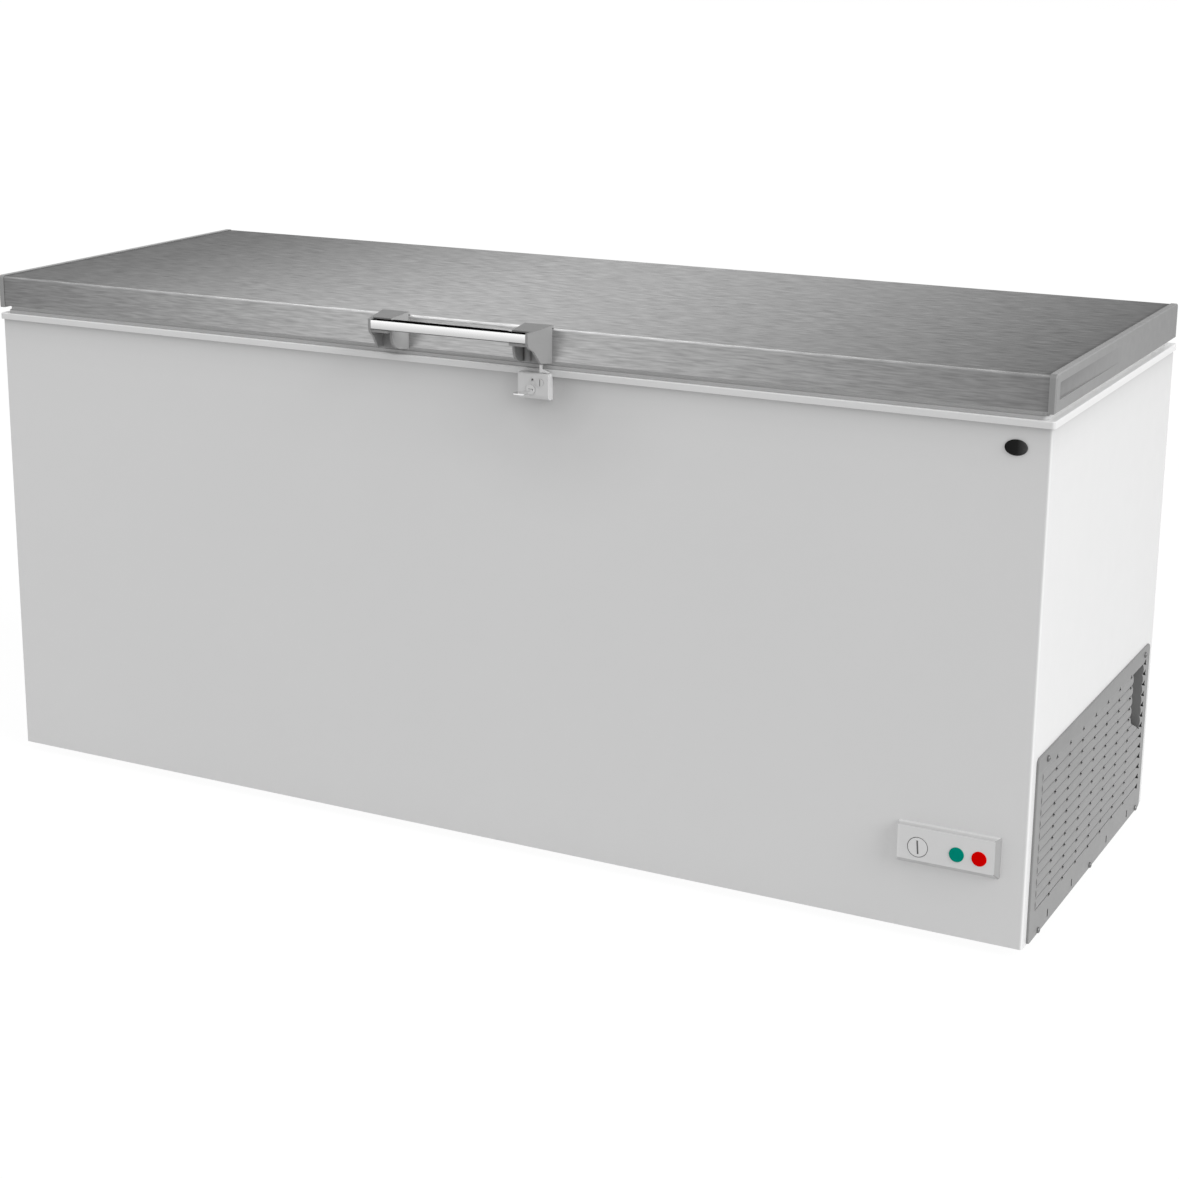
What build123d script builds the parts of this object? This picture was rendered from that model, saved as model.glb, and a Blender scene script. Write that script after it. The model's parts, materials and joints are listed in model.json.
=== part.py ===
from build123d import *
from math import cos, pi, sin
import os

os.makedirs("parts", exist_ok=True)

# Cabinet, millimetres; x runs along the width, y to the back, z up from the floor
CAB_W = 1800
CAB_D = 660
CAB_H = 755
FOOT_H = 15
SHEET = 1
WRAP_R = 4
RETURN = 26
FRONT = -310
BACK = FRONT + CAB_D
HALF_W = CAB_W / 2
BASE_Z = FOOT_H
RIM_Z = BASE_Z + CAB_H
BACK_INSET = 8
RIVET_R = 4
RIVET_H = 1.5
RIVET_INSET = 16
RIVET_LOW = 40
RIVET_PITCH = 170
RIVETS = 5

# Mains inlet low on the back, and the feet
INLET_X = 830
INLET_Z = 62
INLET_R = 4.5
GLAND_R = 8
GLAND_LIP_R = 11
GLAND_LIP = 4
FOOT_INSET = 90
FOOT_R = 11
PAD_R = 20
PAD_H = 7

# Insulated walls and the tub inside them
WALL = 65
LINER_T = 1
LINER_R = 40
FLOOR_R = 12
TUB_X = HALF_W - WALL
TUB_Y0 = FRONT + WALL
TUB_Y1 = BACK - WALL
TUB_Z = BASE_Z + WALL
STEP_X = 500
STEP_Z = 360

# Machine compartment under the step, at the right-hand end
COMP_X = 560
COMP_TOP = 305
TRAY_T = 2

# White frame round the mouth of the tub
RIM_T = 10
RIM_OUT = 3.5
RIM_R = 5
RIM_EDGE_R = 2
RIM_LIP_T = 2
RIM_LIP_H = 15
RIM_TOP = RIM_Z + RIM_T

# Lid
GAP = 12.8
LID_H = 50
LID_Z = RIM_TOP + GAP
LID_TOP = LID_Z + LID_H
LID_FRONT = FRONT - 3
LID_BACK = BACK - 5
LID_X = 897
LID_R = 4.5
SKIN_T = 1
LINING_T = 2
CAP_X = 902.5
CAP_IN = 892.5
CAP_WALL = 5
CAP_PROUD = 1.2
CAP_DROP = 2.8
CAP_EDGE_R = 2.5
DISH = 3
DISH_L = 310
DISH_Y = LID_FRONT + 16
DISH_Z0 = LID_Z + 14.6
DISH_Z1 = LID_TOP - 11.5
SEAL_X = 890.5
SEAL_FRONT = FRONT + 1
SEAL_BACK = BACK - 13
SEAL_W = 24
SEAL_STEP = 2
SEAL_LIP_H = 5.5
SEAL_CLEAR = 0.3
SEAL_R_OUT = 10
SEAL_R_IN = 4

# Handle on the front of the lid; the brackets are narrower in front than at the lid
HANDLE_FRONT = FRONT - 61.5
OUTER_BACK = 147.4
OUTER_FRONT = 136.5
INNER_BACK = 99.6
INNER_FRONT = 104.5
CHEEK_T = 4.1
BACK_T = 5
BAR_Y0 = FRONT - 60
BAR_Y1 = FRONT - 46
BAR_Z0 = BASE_Z + 810.6
BAR_Z1 = BASE_Z + 825.2
BAR_X = 132.5
BAR_BOTTOM_R = 3
BAR_TOP_R = 0.5
BAR_LIP = 0.5
BAR_REST = BASE_Z + 806.5
INSERT_X = 132
INSERT_H = 6
INSERT_PROUD = 0.6
INSERT_Y1 = BAR_Y1 - 1.5
POST_X = 110.5
POST_R = 5
POST_Z = BASE_Z + 777
GRIP_SCREW_X = 125
GRIP_SCREW_Z = BASE_Z + 799
GRIP_SCREW_R = 4
GRIP_SCREW_H = 3

# Handle outlines as (distance from the cabinet front, height over the cabinet base)
CHEEK_OUTER = [(0, 831.4), (-60.5, 826.8), (-60.5, 813), (-58.5, 806.7), (-52.5, 802), (-46, 798.6),
               (-38, 788.8), (-32, 781.7), (-29, 778.1), (-3, 774.5), (-3, 828.2), (0, 828.2)]
CHEEK_INNER = [(0, 831.4), (-46, 827.9), (-46, 801), (-44.5, 792.3), (-42, 787.3), (-38, 783.6),
               (-28, 778.2), (-10, 775.5), (-3, 774.5), (-3, 828.2), (0, 828.2)]
TOP_PLATE = [(0, 831.4), (-47.2, 827.8), (-47.2, 825.5), (-40, 823.5), (-3, 825), (-3, 828.2), (0, 828.2)]

# Lid hinges
HINGE_X = 560
AXIS_Y = BACK + 14
AXIS_Z = LID_Z - 3
PIN_R = 4
PIN_HEAD_R = 6.5
PIN_HEAD = 3
PLATE_X = 36
PLATE_Z = 650
PLATE_T = 3
EAR_X = 26
EAR_T = 4
EAR_R = 10
EAR_Z = 700
ARM_X = 25
ARM_T = 3
SLEEVE_R = 8.5
SLEEVE_L = 12
WEB_Z0 = LID_Z + 6
WEB_Z1 = LID_Z + 10
SPRING_R = 6.8
SPRING_WIRE_R = 1.3
SPRING_PITCH = 3.5
SPRING_TURNS = 6
SPRING_LEGS = (8, 46)
HINGE_SCREW_R = 5
HINGE_SCREW_H = 2.2
HINGE_SCREW_X = 16
HINGE_SCREW_Z = (672, 735)
ARM_SCREW_Z = LID_Z + 30
RUN_FIT = 0.06
SEAT_FIT = 0.03

# Control panel, low on the right of the front
PANEL_D = 16
PANEL_FLANGE = 4
PANEL_X = (711, 862.5)
PANEL_Z = (BASE_Z + 102, BASE_Z + 163.3)
FACE_X = (715, 858.5)
FACE_Z = (BASE_Z + 111.5, BASE_Z + 162.5)
PANEL_R = 2
PANEL_FACE = FRONT - PANEL_D
DIAL_Z = BASE_Z + 132
KNOB_X = 745.5
KNOB_R = 14.5
KNOB_GAP = 0.8
KNOB_T = 5
KNOB_PROUD = 0.5
COIN_SLOT = (2.6, 20.5)
SLOT_DEEP = 2.5
SLOT_TURN = 5
STEM_R = 3
STEM_HOLE_R = 6
BUSH_R = 5.5
LAMP_X = (803, 836)
LAMP_R = 11
LAMP_PROUD = 1.2
LAMP_DEEP = 9

# Plain oval badge near the top right corner of the front
BADGE_X = 851.4
BADGE_Z = BASE_Z + 724.5
BADGE_RX = 16.05
BADGE_RZ = 11.15
BADGE_T = 2.5

# Lock under the right-hand handle bracket
CASE_X = (96.5, 146.8)
CASE_Z = (BASE_Z + 720, BASE_Z + 760)
CASE_Y = FRONT - 16
CASE_BOTTOM_R = 9
CASE_TOP_R = 3
CASE_WALL = 1.6
RIM_CLEAR = 0.3
LOCK_X = 118
LOCK_Z = BASE_Z + 735
PLUG_R = 7.5
RING_R = 10.3
RING_W = 1
RING_H = 0.5
KEY_T = 1.8
KEY_BLADE = 7
KEY_BOW = 19
KEY_REACH = 41
KEY_HOLE_R = 2.5
HOOK_X = 130
HOOK_T = 3.2
HOOK_SIDE = 0.4
HOOK_Y = FRONT - 7.5
HOOK_Z = BASE_Z + 736
HOOK_PIN_R = 2
HOOK_PIN_X = (HOOK_X - 3.5, HOOK_X + HOOK_T + 5)
HOOK_FINGER = [(-11, 732), (-11, 773), (-7.2, 773), (-7.2, 766), (-4.2, 758), (-4.2, 732)]
GUSSET = [(HOOK_X, 761.3), (145.5, 761.3), (145.5, 761.8), (HOOK_X, 767.5)]
LOCK_SCREWS = [(133.6, BASE_Z + 746.5, 6), (120.4, BASE_Z + 749.5, 2.4)]

# Vent grille on the right-hand side
GRILLE_Y0 = FRONT + 19
GRILLE_Y1 = FRONT + 633
GRILLE_Z0 = BASE_Z + 0.5
GRILLE_Z1 = BASE_Z + 281
GRILLE_T = 3.6
GRILLE_R = 7
GRILLE_EDGE_R = 2
GROOVE_X = HALF_W + 2.4
SLAT_X = HALF_W + 3
CROWN_X = HALF_W + 4.6
GROOVE = 1.4
FIELD_Y0 = FRONT + 42
FIELD_Y1 = FRONT + 611
VENT_Z0 = BASE_Z + 40
VENT_Z1 = BASE_Z + 257
ROW_Z = BASE_Z + 44.5
ROW_PITCH = 17.63
ROWS = 13
COL_Y = FRONT + 112.5
COL_PITCH = 68.1
COLS = 7
HOLE = [(-5.5, -3.2), (5.5, -3.2), (0, 3.8)]
END_HOLE = [(-9, -1), (5, -6), (5, 5)]
END_Y = FRONT + 605
WINDOW = [(532, 175.6), (594, 146), (594, 256.5), (532, 256.5)]
COLLAR_Y = (FRONT + 594, FRONT + 596)
COLLAR_X = HALF_W - 20
WINDOW_PLATE_X = HALF_W - 22
WINDOW_PLATE_T = 2
LEG_H = 8
SLITS = (111, 236, 429.5, 551.5)
SLIT_W = 4
SLIT_Z = (BASE_Z + 9, BASE_Z + 21)
GRILLE_SCREWS = [(63, 269), (601, 269.5), (64, 6.8), (335, 6.8), (605, 6.8)]
GRILLE_SCREW_R = 4.5
GRILLE_SCREW_H = 3

# Cold circuit
EVAP_R = 4
EVAP_PITCH = 38
EVAP_TURNS = 8
EVAP_Z = 400
EVAP_START_X = 612
BAND = 10
BAND_Y = TUB_Y1 + LINER_T + BAND / 2
COND_R = 3
COND_BEND = 20
COND_Y = BACK - SHEET - 8
COND_TOP = 690
COND_PITCH = 50
COND_RUNS = 9
COND_END = COND_TOP - COND_PITCH * (COND_RUNS - 1)
COND_RISER_X = -800
COND_TURN_X = (480, -740)
COND_JOIN_X = 575
COND_ROOM = 18
HOT_Z = 90
SUCTION_X = 600
SUCTION_Z = 165
SUCTION_HOLE_R = 6
COMPRESSOR_X = 735
COMPRESSOR_Y = 20
COMPRESSOR_R = 88
POT_Z0 = 40
POT_Z1 = 220
POT_TOP_R = 55
POT_BOTTOM_R = 38
SEAM_Z = 128
SEAM_H = 6
SEAM_OUT = 5
SOLE_X = 105
SOLE_Y = 80
SOLE_T = 4
RUBBER_X = 90
RUBBER_Y = 65
RUBBER_R = 13
STUB_X = 30
STUB_Y0 = 50
STUB_Y1 = 100
RELAY_X = 30
RELAY_Y = (-128, -70)
RELAY_Z = (66, 124)
DRIER_X = (590, 690)
DRIER_R = 7.5


def block(x0, x1, y0, y1, z0, z1):
    """Box between two corners."""
    centre = Pos((x0 + x1) / 2, (y0 + y1) / 2, (z0 + z1) / 2)
    return centre * Box(x1 - x0, y1 - y0, z1 - z0)


def slab(x0, x1, y0, y1, z0, z1, r):
    """Box with its four upright edges rounded."""
    plan = Pos((x0 + x1) / 2, (y0 + y1) / 2, z0) * RectangleRounded(x1 - x0, y1 - y0, r)
    return extrude(plan, z1 - z0)


def prism_x(points, x0, x1):
    """Prism along x from an outline of (y, z) points."""
    outline = make_face(Polyline(*[(x0, y, z) for y, z in points], close=True))
    return extrude(outline, x1 - x0, dir=(1, 0, 0))


def prism_y(points, y0, y1):
    """Prism along y from an outline of (x, z) points."""
    outline = make_face(Polyline(*[(x, y0, z) for x, z in points], close=True))
    return extrude(outline, y1 - y0, dir=(0, 1, 0))


def prism_z(points, z0, z1):
    """Prism along z from an outline of (x, y) points."""
    outline = make_face(Polyline(*[(x, y, z0) for x, y in points], close=True))
    return extrude(outline, z1 - z0, dir=(0, 0, 1))


def from_front(points):
    """Outline points moved from the cabinet front and base to the model frame."""
    return [(FRONT + d, BASE_Z + h) for d, h in points]


def rod(p, q, r):
    """Round bar from point p to point q."""
    line = Vector(*q) - Vector(*p)
    base = Plane(origin=p, z_dir=line)
    return base * Cylinder(r, line.length, align=(Align.CENTER, Align.CENTER, Align.MIN))


def rod_x(x0, x1, y, z, r):
    """Round bar along x."""
    return rod((x0, y, z), (x1, y, z), r)


def rod_y(x, y0, y1, z, r):
    """Round bar along y."""
    return rod((x, y0, z), (x, y1, z), r)


def rod_z(x, y, z0, z1, r):
    """Round bar along z."""
    return rod((x, y, z0), (x, y, z1), r)


def tube(points, bend, r):
    """Round line along straight runs with bends of one radius."""
    path = FilletPolyline(*points, radius=bend)
    section = Plane(origin=path @ 0, z_dir=path % 0) * Circle(r)
    return sweep(section, path=path)


def group(solids):
    """Several equal pieces kept as one node."""
    return Compound(children=solids)


# Cabinet shell
def shell_core(z0, z1):
    """Space inside the painted sheet."""
    inside = HALF_W - SHEET
    return slab(-inside, inside, FRONT + SHEET, BACK - SHEET, z0, z1, WRAP_R - SHEET)


def cabinet_wrap():
    """Front and both sides in one bent sheet, with return flanges at the back."""
    sheet = slab(-HALF_W, HALF_W, FRONT, BACK, BASE_Z, RIM_Z, WRAP_R)
    sheet -= shell_core(BASE_Z, RIM_Z)
    open_x = HALF_W - RETURN
    sheet -= block(-open_x, open_x, BACK - WRAP_R, BACK + SHEET, BASE_Z, RIM_Z)
    vent = block(HALF_W - WRAP_R, HALF_W + SHEET, FIELD_Y0, FIELD_Y1, VENT_Z0, VENT_Z1)
    return sheet - vent - rod_y(KNOB_X, FRONT - SHEET, FRONT + 2 * SHEET, DIAL_Z, STEM_HOLE_R)


def back_panel():
    """Flat sheet over the return flanges, with a hole for the mains inlet."""
    edge = HALF_W - BACK_INSET
    sheet = block(-edge, edge, BACK, BACK + SHEET, BASE_Z, RIM_Z)
    return sheet - rod_y(INLET_X, BACK - SHEET, BACK + 2 * SHEET, INLET_Z, GLAND_R)


def back_rivets():
    """Flat rivet heads down both edges of the back panel."""
    x = HALF_W - RIVET_INSET
    y0 = BACK + SHEET
    heights = [BASE_Z + RIVET_LOW + RIVET_PITCH * k for k in range(RIVETS)]
    spots = [(side * x, z) for side in (-1, 1) for z in heights]
    return group([rod_y(a, y0, y0 + RIVET_H, z, RIVET_R) for a, z in spots])


def cable_gland():
    """Rubber ring that lines the mains inlet hole."""
    inner, outer = BACK - GLAND_LIP + SHEET, BACK + GLAND_LIP
    ring = rod_y(INLET_X, inner, outer, INLET_Z, GLAND_R - SEAT_FIT)
    ring += rod_y(INLET_X, BACK + SHEET, outer, INLET_Z, GLAND_LIP_R)
    return ring - rod_y(INLET_X, inner - SHEET, outer + SHEET, INLET_Z, INLET_R)


def base_panel():
    """Floor sheet under the insulation."""
    return shell_core(BASE_Z, BASE_Z + SHEET) & block(-HALF_W, COMP_X, FRONT, BACK, 0, RIM_Z)


def compressor_tray():
    """Stiffer floor plate of the machine compartment."""
    return shell_core(BASE_Z, BASE_Z + TRAY_T) & block(COMP_X, HALF_W, FRONT, BACK, 0, RIM_Z)


def foot(side, y):
    """Screwed foot with a wider pad on the floor."""
    x = side * (HALF_W - FOOT_INSET)
    pad = rod_z(x, y, 0, PAD_H, PAD_R)
    pad = fillet(pad.edges().filter_by(GeomType.CIRCLE), 1.5)
    return pad + rod_z(x, y, PAD_H - 1, FOOT_H, FOOT_R)


# Tub and insulation
def tub_shape(grow):
    """Stepped inside of the tub, made larger by grow all round."""
    x = TUB_X + grow
    y0, y1 = TUB_Y0 - grow, TUB_Y1 + grow
    upper = slab(-x, x, y0, y1, STEP_Z - grow, RIM_Z, LINER_R + grow)
    lower = slab(-x, STEP_X + grow, y0, y1, TUB_Z - grow, STEP_Z + 2 * LINER_R, LINER_R + grow)
    lower = fillet(lower.faces().sort_by(Axis.Z)[0].edges(), FLOOR_R + grow)
    return upper + lower


def inner_liner():
    """Aluminium tub."""
    return tub_shape(LINER_T) - tub_shape(0)


def evaporator_band():
    """Space behind the liner where the cold coil lies."""
    x = TUB_X + LINER_T + BAND
    y0, y1 = TUB_Y0 - LINER_T - BAND, TUB_Y1 + LINER_T + BAND
    z1 = EVAP_Z + EVAP_PITCH * EVAP_TURNS + BAND
    return slab(-x, x, y0, y1, EVAP_Z - BAND, z1, LINER_R + LINER_T + BAND)


def cabinet_foam():
    """Insulation between the painted shell and the tub, with room for the tubes."""
    foam = shell_core(BASE_Z + SHEET, RIM_Z)
    foam -= block(COMP_X, HALF_W, FRONT, BACK, 0, COMP_TOP)
    foam -= block(COND_RISER_X - COND_ROOM, COMP_X, COND_Y - COND_ROOM / 3, BACK, HOT_Z - COND_ROOM,
                  COND_TOP + COND_ROOM)
    foam -= tub_shape(LINER_T)
    foam -= evaporator_band()
    return foam - rod_z(SUCTION_X, BAND_Y, COMP_TOP - SHEET, EVAP_Z, SUCTION_HOLE_R)


def top_rim():
    """White frame that closes the wall at the mouth of the tub."""
    x = HALF_W + RIM_OUT
    frame = slab(-x, x, FRONT - RIM_OUT, BACK + RIM_OUT, RIM_Z, RIM_TOP, RIM_R)
    frame = fillet(frame.faces().sort_by(Axis.Z)[-1].edges(), RIM_EDGE_R)
    lip = slab(-TUB_X, TUB_X, TUB_Y0, TUB_Y1, RIM_Z - RIM_LIP_H, RIM_Z, LINER_R)
    t = RIM_LIP_T
    mouth = slab(-TUB_X + t, TUB_X - t, TUB_Y0 + t, TUB_Y1 - t, RIM_Z - RIM_LIP_H, RIM_TOP, LINER_R - t)
    return frame + lip - mouth


# Cold circuit
def evaporator_coil():
    """One tube wound round the outside of the tub, rising along the back wall."""
    x = TUB_X + LINER_T + BAND / 2
    y0, y1 = TUB_Y0 - LINER_T - BAND / 2, BAND_Y
    points = [(EVAP_START_X, y1, EVAP_Z)]
    for turn in range(EVAP_TURNS):
        z = EVAP_Z + EVAP_PITCH * turn
        points += [(x, y1, z), (x, y0, z), (-x, y0, z), (-x, y1, z)]
    points.append((x - 2 * LINER_R, y1, EVAP_Z + EVAP_PITCH * EVAP_TURNS))
    return tube(points, LINER_R + LINER_T + BAND / 2, EVAP_R)


def condenser_coil():
    """Warm tube laid to and fro inside the back panel."""
    runs = [COND_TOP - COND_PITCH * k for k in range(COND_RUNS)]
    points = [(COND_JOIN_X, COND_Y, HOT_Z), (COND_RISER_X, COND_Y, HOT_Z), (COND_RISER_X, COND_Y, COND_TOP)]
    for k, z in enumerate(runs[:-1]):
        end = COND_TURN_X[k % 2]
        points += [(end, COND_Y, z), (end, COND_Y, runs[k + 1])]
    points.append((COND_JOIN_X, COND_Y, COND_END))
    return tube(points, COND_BEND, COND_R)


def compressor():
    """Sealed pot with its weld seam, foot plate and two line stubs."""
    x, y = COMPRESSOR_X, COMPRESSOR_Y
    pot = rod_z(x, y, POT_Z0, POT_Z1, COMPRESSOR_R)
    pot = fillet(pot.edges().group_by(Axis.Z)[-1], POT_TOP_R)
    pot = fillet(pot.edges().group_by(Axis.Z)[0], POT_BOTTOM_R)
    pot += rod_z(x, y, SEAM_Z, SEAM_Z + SEAM_H, COMPRESSOR_R + SEAM_OUT)
    pot += slab(x - SOLE_X, x + SOLE_X, y - SOLE_Y, y + SOLE_Y, POT_Z0 - SOLE_T, POT_Z0, RUBBER_R)
    pot += rod_y(x + STUB_X, y + STUB_Y0, y + STUB_Y1, HOT_Z, COND_R + 2)
    return pot + rod_y(x - STUB_X, y + STUB_Y0, y + STUB_Y1, SUCTION_Z, EVAP_R + 2)


def compressor_grommets():
    """Rubber sleeves between the foot plate and the tray."""
    z0, z1 = BASE_Z + TRAY_T, POT_Z0 - SOLE_T
    sleeves = []
    for x in (COMPRESSOR_X - RUBBER_X, COMPRESSOR_X + RUBBER_X):
        for y in (COMPRESSOR_Y - RUBBER_Y, COMPRESSOR_Y + RUBBER_Y):
            sleeves.append(rod_z(x, y, z0, z1, RUBBER_R))
    return group(sleeves)


def relay_box():
    """Starting relay cover on the side of the pot."""
    x, y = COMPRESSOR_X, COMPRESSOR_Y
    box = block(x - RELAY_X, x + RELAY_X, y + RELAY_Y[0], y + RELAY_Y[1], *RELAY_Z)
    box = fillet(box.edges().group_by(Axis.Y)[0], 4)
    return box - rod_z(x, y, POT_Z0, POT_Z1, COMPRESSOR_R)


def discharge_line():
    """Hot line from the compressor to the condenser."""
    x, y = COMPRESSOR_X + STUB_X, COMPRESSOR_Y + STUB_Y1
    return tube([(x, y, HOT_Z), (x, COND_Y, HOT_Z), (COND_JOIN_X, COND_Y, HOT_Z)], COND_BEND, COND_R)


def suction_line():
    """Cold line from the evaporator back to the compressor."""
    x, y = COMPRESSOR_X - STUB_X, COMPRESSOR_Y + STUB_Y1
    points = [(EVAP_START_X, BAND_Y, EVAP_Z), (SUCTION_X, BAND_Y, EVAP_Z), (SUCTION_X, BAND_Y, SUCTION_Z),
              (x, BAND_Y, SUCTION_Z), (x, y, SUCTION_Z)]
    return tube(points, EVAP_START_X - SUCTION_X - 1, EVAP_R)


def filter_drier():
    """Copper dryer cartridge at the end of the condenser."""
    body = rod_x(*DRIER_X, COND_Y, COND_END, DRIER_R)
    body = fillet(body.edges().filter_by(GeomType.CIRCLE), DRIER_R / 2)
    return body + rod_x(COND_JOIN_X, DRIER_X[0] + DRIER_R, COND_Y, COND_END, COND_R)


# Vent grille
def grille_slat(k):
    """One bulging slat between two groove lines."""
    low = ROW_Z + ROW_PITCH * k + GROOVE / 2
    high = low + ROW_PITCH - GROOVE
    y = FIELD_Y0
    bulge = ThreePointArc((SLAT_X, y, low), (CROWN_X, y, (low + high) / 2), (SLAT_X, y, high))
    rest = Polyline(bulge @ 1, (HALF_W + SHEET, y, high), (HALF_W + SHEET, y, low), bulge @ 0)
    return extrude(make_face([bulge, rest]), FIELD_Y1 - FIELD_Y0, dir=(0, 1, 0))


def grille_holes():
    """Vent holes on the groove lines and at the slat ends, the window and the slits near the floor."""
    x0, x1 = HALF_W - SHEET, CROWN_X + SHEET
    spots = [(COL_Y + COL_PITCH * c, ROW_Z + ROW_PITCH * r) for c in range(COLS) for r in range(ROWS)]
    holes = [prism_x([(y + a, z + b) for a, b in HOLE], x0, x1) for y, z in spots]
    for row in range(ROWS):
        z = ROW_Z + ROW_PITCH * row
        holes.append(prism_x([(END_Y + a, z + b) for a, b in END_HOLE], x0, x1))
    for d in SLITS:
        y = FRONT + d
        holes.append(block(HALF_W + SHEET, x1, y - SLIT_W / 2, y + SLIT_W / 2, *SLIT_Z))
    return holes + [prism_x(from_front(WINDOW), x0, x1)]


def vent_grille():
    """Grey moulded cover with bulging slats and small vent holes."""
    y, z = (GRILLE_Y0 + GRILLE_Y1) / 2, (GRILLE_Z0 + GRILLE_Z1) / 2
    face = Plane(origin=(HALF_W, y, z), x_dir=(0, 1, 0), z_dir=(1, 0, 0))
    outline = face * RectangleRounded(GRILLE_Y1 - GRILLE_Y0, GRILLE_Z1 - GRILLE_Z0, GRILLE_R)
    cover = extrude(outline, GRILLE_T)
    cover = fillet(cover.faces().sort_by(Axis.X)[-1].edges(), GRILLE_EDGE_R)
    field_top = ROW_Z + ROW_PITCH * (ROWS - 1)
    cover -= block(GROOVE_X, CROWN_X, FIELD_Y0, FIELD_Y1, ROW_Z, field_top)
    cover += [grille_slat(k) for k in range(ROWS - 1)]
    return cover - grille_holes() + window_collar()


def window_collar():
    """Wall moulded on the back edge of the window, reaching in through the shell."""
    heights = [BASE_Z + h for d, h in WINDOW]
    return block(COLLAR_X, HALF_W + SHEET, *COLLAR_Y, min(heights), max(heights))


def window_span():
    """Front and back ends of the pieces behind the window."""
    ends = [FRONT + d for d, h in WINDOW]
    return min(ends) - 2 * LEG_H, FIELD_Y1


def grille_window_plate():
    """Plate set back behind the window."""
    x0, x1 = WINDOW_PLATE_X, WINDOW_PLATE_X + WINDOW_PLATE_T
    return block(x0, x1, *window_span(), VENT_Z0 - 2 * LEG_H, VENT_Z1 + LEG_H)


def grille_window_legs():
    """Two strips that carry the plate on the inside of the shell, over and under the vent."""
    x0, x1 = WINDOW_PLATE_X + WINDOW_PLATE_T, HALF_W - SHEET
    return group([block(x0, x1, *window_span(), z, z + LEG_H) for z in (VENT_Z1, VENT_Z0 - 2 * LEG_H)])


def grille_screws():
    """Five round screw heads round the grille border."""
    x0 = HALF_W + GRILLE_T
    x1 = x0 + GRILLE_SCREW_H
    heads = []
    for y, z in from_front(GRILLE_SCREWS):
        head = fillet(rod_x(x0, x1, y, z, GRILLE_SCREW_R).edges().group_by(Axis.X)[-1], 2)
        heads.append(head - block(x1 - 0.6, x1 + 1, y - 3, y + 3, z - 0.5, z + 0.5))
    return group(heads)


# Control panel
def front_rect(x_span, y, z_span):
    """Upright rounded rectangle facing the front."""
    middle = (sum(x_span) / 2, y, sum(z_span) / 2)
    plane = Plane(origin=middle, x_dir=(1, 0, 0), z_dir=(0, -1, 0))
    return plane * RectangleRounded(x_span[1] - x_span[0], z_span[1] - z_span[0], PANEL_R)


def control_panel():
    """Bevelled box with a dial seat and two lamp holes."""
    flange = extrude(front_rect(PANEL_X, FRONT, PANEL_Z), PANEL_FLANGE)
    step = front_rect(PANEL_X, FRONT - PANEL_FLANGE, PANEL_Z)
    box = flange + loft([step, front_rect(FACE_X, PANEL_FACE, FACE_Z)])
    box -= rod_y(KNOB_X, PANEL_FACE - 1, PANEL_FACE + KNOB_T, DIAL_Z, KNOB_R + KNOB_GAP)
    box -= rod_y(KNOB_X, PANEL_FACE - 1, FRONT + 1, DIAL_Z, STEM_HOLE_R)
    for x in LAMP_X:
        box -= rod_y(x, PANEL_FACE - 1, PANEL_FACE + LAMP_DEEP, DIAL_Z, LAMP_R + SEAT_FIT)
    return box


def thermostat_knob():
    """Flush dial with a coin slot and a stem."""
    y0, y1 = PANEL_FACE - KNOB_PROUD, PANEL_FACE - KNOB_PROUD + KNOB_T
    dial = rod_y(KNOB_X, y0, y1, DIAL_Z, KNOB_R)
    dial = fillet(dial.edges().group_by(Axis.Y)[0], 0.6)
    dial -= Pos(KNOB_X, y0, DIAL_Z) * Rot(0, -SLOT_TURN, 0) * Box(COIN_SLOT[0], 2 * SLOT_DEEP, COIN_SLOT[1])
    return dial + rod_y(KNOB_X, y1 - 1, FRONT + 12, DIAL_Z, STEM_R)


def thermostat_body():
    """Thermostat behind the front sheet, with the bush that carries the stem."""
    box = block(KNOB_X - 24, KNOB_X + 24, FRONT + SHEET, FRONT + 36, DIAL_Z - 18, DIAL_Z + 22)
    bush = rod_y(KNOB_X, FRONT - 8, FRONT + 2, DIAL_Z, BUSH_R)
    return box + bush - rod_y(KNOB_X, FRONT - 9, FRONT + 14, DIAL_Z, STEM_R + RUN_FIT)


def lamp(x):
    """Round lens, slightly proud of the panel."""
    lens = rod_y(x, PANEL_FACE - LAMP_PROUD, PANEL_FACE + LAMP_DEEP, DIAL_Z, LAMP_R)
    return fillet(lens.edges().group_by(Axis.Y)[0], 1)


def badge_plate():
    """Plain oval plate near the top right corner of the front."""
    plane = Plane(origin=(BADGE_X, FRONT, BADGE_Z), x_dir=(1, 0, 0), z_dir=(0, -1, 0))
    plate = extrude(plane * Ellipse(BADGE_RX, BADGE_RZ), BADGE_T)
    return fillet(plate.faces().sort_by(Axis.Y)[0].edges(), 1)


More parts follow.
